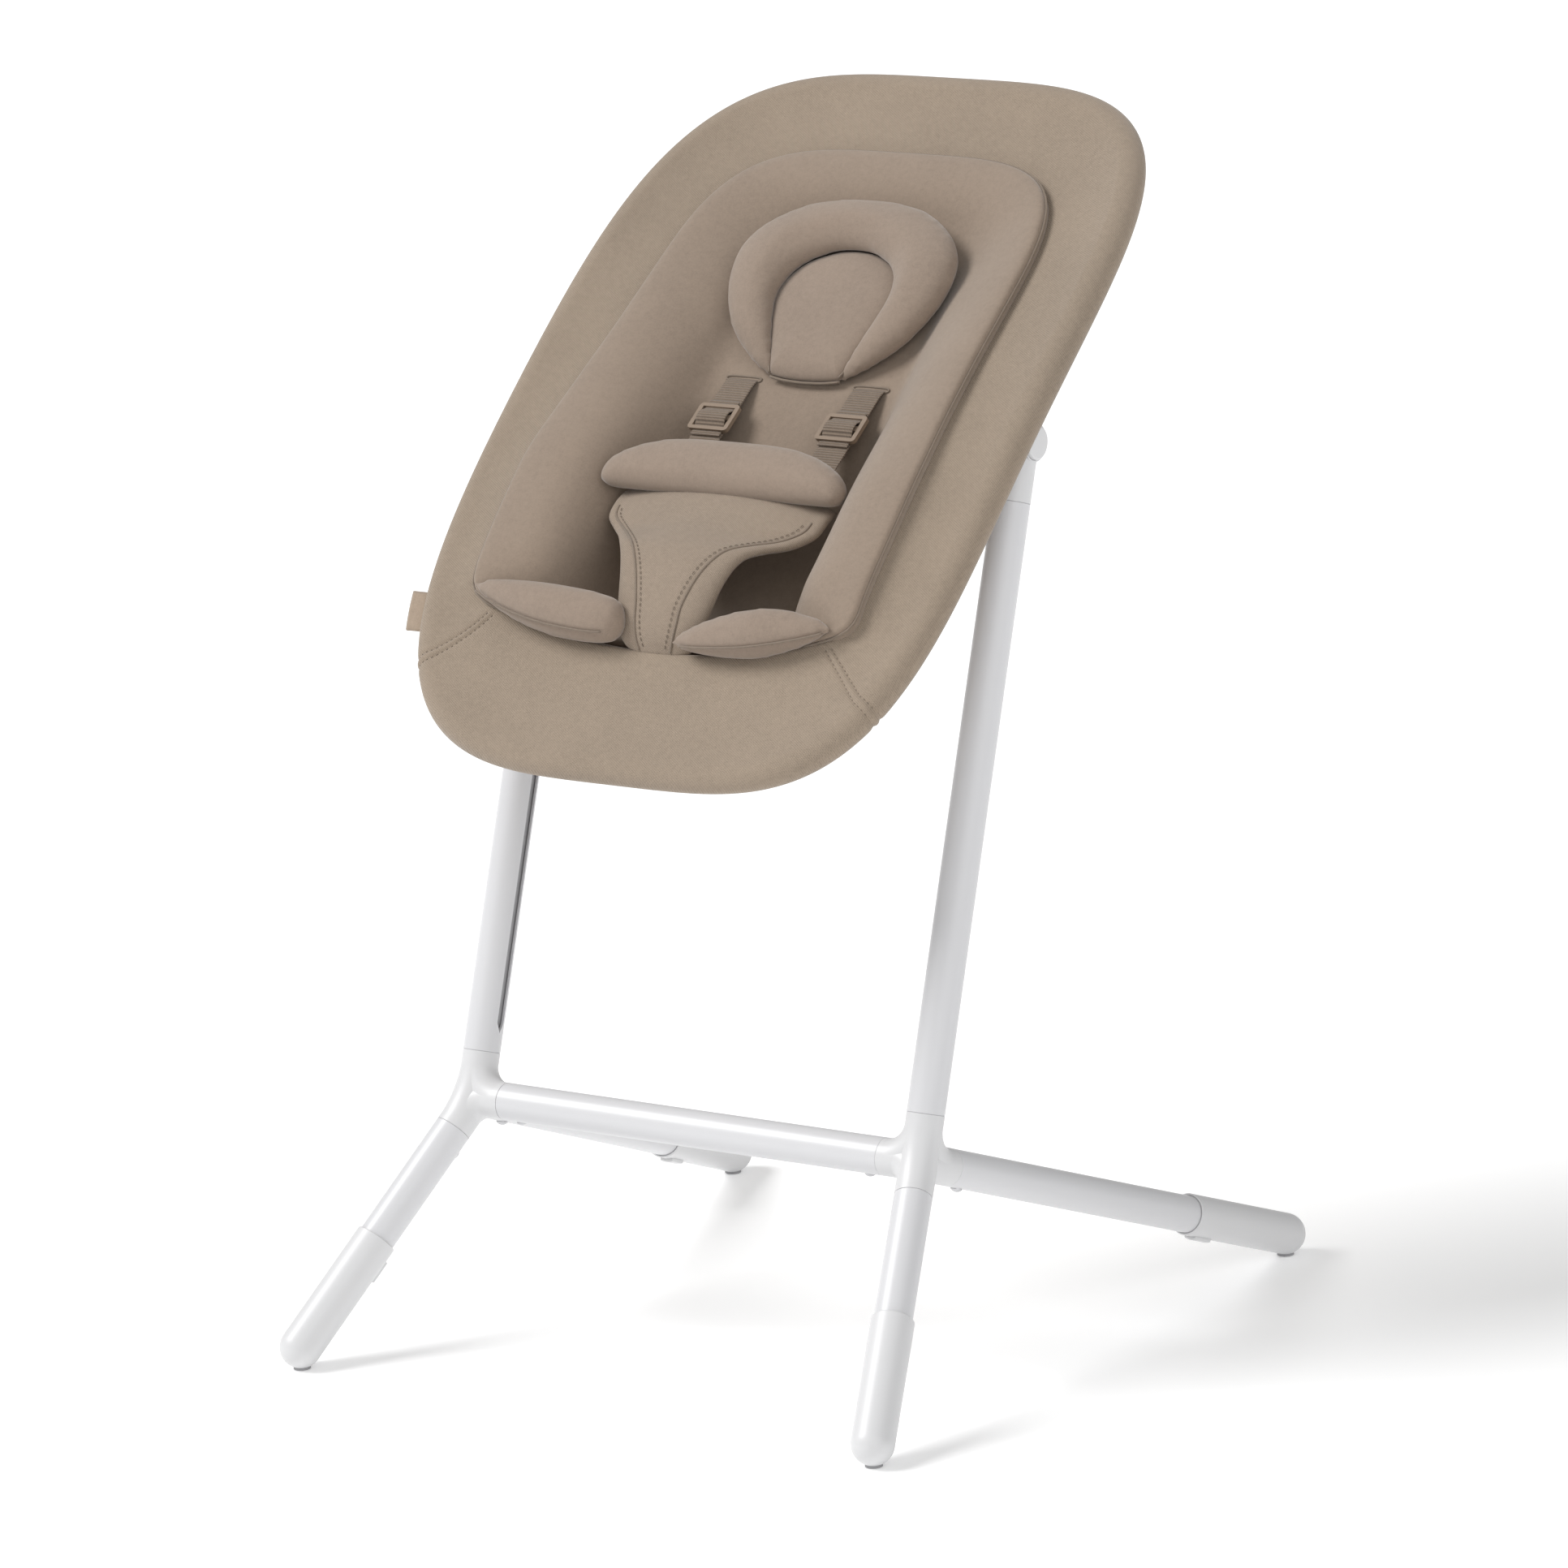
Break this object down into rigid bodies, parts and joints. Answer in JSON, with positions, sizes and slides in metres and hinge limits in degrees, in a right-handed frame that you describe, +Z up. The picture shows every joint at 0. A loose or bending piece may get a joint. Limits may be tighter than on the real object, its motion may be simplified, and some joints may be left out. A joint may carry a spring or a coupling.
{
  "type": "bouncer seat",
  "caption": "Newborn bouncer seat with padded liner, head pillow and bumper harness on a leaning tube stand, with recline, bounce and folding harness.",
  "frame": {"origin": "on the floor, midway between the feet", "axes": "+Z up, -Y the way the sitter faces, +X to the right seen from the front"},
  "size_m": [0.5066, 0.5436, 0.8219],
  "materials": {
    "frame_paint": "satin white powder coat",
    "moulded_white": "satin white moulding",
    "rail_grey": "dark grey moulding",
    "glide_grey": "soft grey",
    "screw_steel": "plain zinc",
    "rim_paint": "satin white powder coat",
    "cover_fabric": "fine diagonal twill, sand beige",
    "liner_fabric": "smooth jersey, sand beige",
    "webbing": "ribbed tape, darker beige",
    "buckle_plastic": "satin beige moulding",
    "tag_cloth": "pale woven tape"
  },
  "bodies": {
    "stand": {"right_hub": "moulded_white", "left_hub": "moulded_white", "right_upright": "frame_paint", "left_upright": "frame_paint", "right_guide_rail": "rail_grey", "left_guide_rail": "rail_grey", "right_head": "moulded_white", "left_head": "moulded_white", "right_pivot_pin": "screw_steel", "left_pivot_pin": "screw_steel", "right_front_leg": "frame_paint", "left_front_leg": "frame_paint", "right_rear_leg": "frame_paint", "left_rear_leg": "frame_paint", "right_front_foot": "moulded_white", "left_front_foot": "moulded_white", "right_rear_foot": "moulded_white", "left_rear_foot": "moulded_white", "crossbar": "frame_paint", "frame_screws": "screw_steel", "glide_pads": "glide_grey"},
    "carrier": {"right_lock_arm": "moulded_white", "left_lock_arm": "moulded_white", "cross_tube": "rim_paint"},
    "seat": {"right_side_tube": "rim_paint", "left_side_tube": "rim_paint", "right_seat_bracket": "moulded_white", "left_seat_bracket": "moulded_white", "right_side_panel": "cover_fabric", "left_side_panel": "cover_fabric", "right_liner_wing": "liner_fabric", "left_liner_wing": "liner_fabric", "right_thigh_pad": "liner_fabric", "left_thigh_pad": "liner_fabric", "right_strap": "webbing", "left_strap": "webbing", "right_strap_clip": "buckle_plastic", "left_strap_clip": "buckle_plastic", "head_bow": "rim_paint", "foot_bow": "rim_paint", "head_panel": "cover_fabric", "front_panel": "cover_fabric", "back_sling": "cover_fabric", "seat_sling": "cover_fabric", "liner_back": "liner_fabric", "liner_seat": "liner_fabric", "front_wall": "cover_fabric", "head_pillow": "liner_fabric", "pillow_pad": "liner_fabric", "side_tag": "tag_cloth"},
    "harness": {"bumper": "liner_fabric", "crotch_panel": "liner_fabric"},
    "right_button": {"right_release_button": "moulded_white"},
    "right_adjuster": {"right_strap_adjuster": "buckle_plastic"},
    "right_front_latch": {"right_front_foot_latch": "moulded_white"},
    "right_rear_latch": {"right_rear_foot_latch": "moulded_white"},
    "left_button": {"left_release_button": "moulded_white"},
    "left_adjuster": {"left_strap_adjuster": "buckle_plastic"},
    "left_front_latch": {"left_front_foot_latch": "moulded_white"},
    "left_rear_latch": {"left_rear_foot_latch": "moulded_white"}
  },
  "joints": [
    {"name": "recline", "type": "hinge", "parent": "stand", "child": "carrier", "pos_m": [0, 0.04909, 0.622], "axis": [1, 0, 0], "range_deg": [-15, 12]},
    {"name": "bounce", "type": "hinge", "parent": "carrier", "child": "seat", "pos_m": [0, 0.04909, 0.622], "axis": [1, 0, 0], "range_deg": [-4, 4], "stiffness_Nm_per_rad": 60, "springref_deg": -0.17},
    {"name": "harness_fold", "type": "hinge", "parent": "seat", "child": "harness", "pos_m": [0, -0.12026, 0.50349], "axis": [1, 0, 0], "range_deg": [0, 100]},
    {"name": "right_button_press", "type": "slide", "parent": "stand", "child": "right_button", "axis": [-1, 0, 0], "range_m": [0, 0.003], "stiffness_N_per_m": 500, "springref_m": -0.002},
    {"name": "right_adjuster_slide", "type": "slide", "parent": "seat", "child": "right_adjuster", "axis": [0, 0.8241, 0.5665], "range_m": [-0.012, 0.012]},
    {"name": "right_front_latch_press", "type": "slide", "parent": "stand", "child": "right_front_latch", "axis": [0.2355, -0.6487, 0.7237], "range_m": [0, 0.002], "stiffness_N_per_m": 800, "springref_m": -0.001},
    {"name": "right_rear_latch_press", "type": "slide", "parent": "stand", "child": "right_rear_latch", "axis": [0.0517, 0.363, 0.9304], "range_m": [0, 0.002], "stiffness_N_per_m": 800, "springref_m": -0.001},
    {"name": "left_button_press", "type": "slide", "parent": "stand", "child": "left_button", "axis": [1, 0, 0], "range_m": [0, 0.003], "stiffness_N_per_m": 500, "springref_m": -0.002},
    {"name": "left_adjuster_slide", "type": "slide", "parent": "seat", "child": "left_adjuster", "axis": [0, 0.8241, 0.5665], "range_m": [-0.012, 0.012]},
    {"name": "left_front_latch_press", "type": "slide", "parent": "stand", "child": "left_front_latch", "axis": [-0.2355, -0.6487, 0.7237], "range_m": [0, 0.002], "stiffness_N_per_m": 800, "springref_m": -0.001},
    {"name": "left_rear_latch_press", "type": "slide", "parent": "stand", "child": "left_rear_latch", "axis": [-0.0517, 0.363, 0.9304], "range_m": [0, 0.002], "stiffness_N_per_m": 800, "springref_m": -0.001}
  ]
}
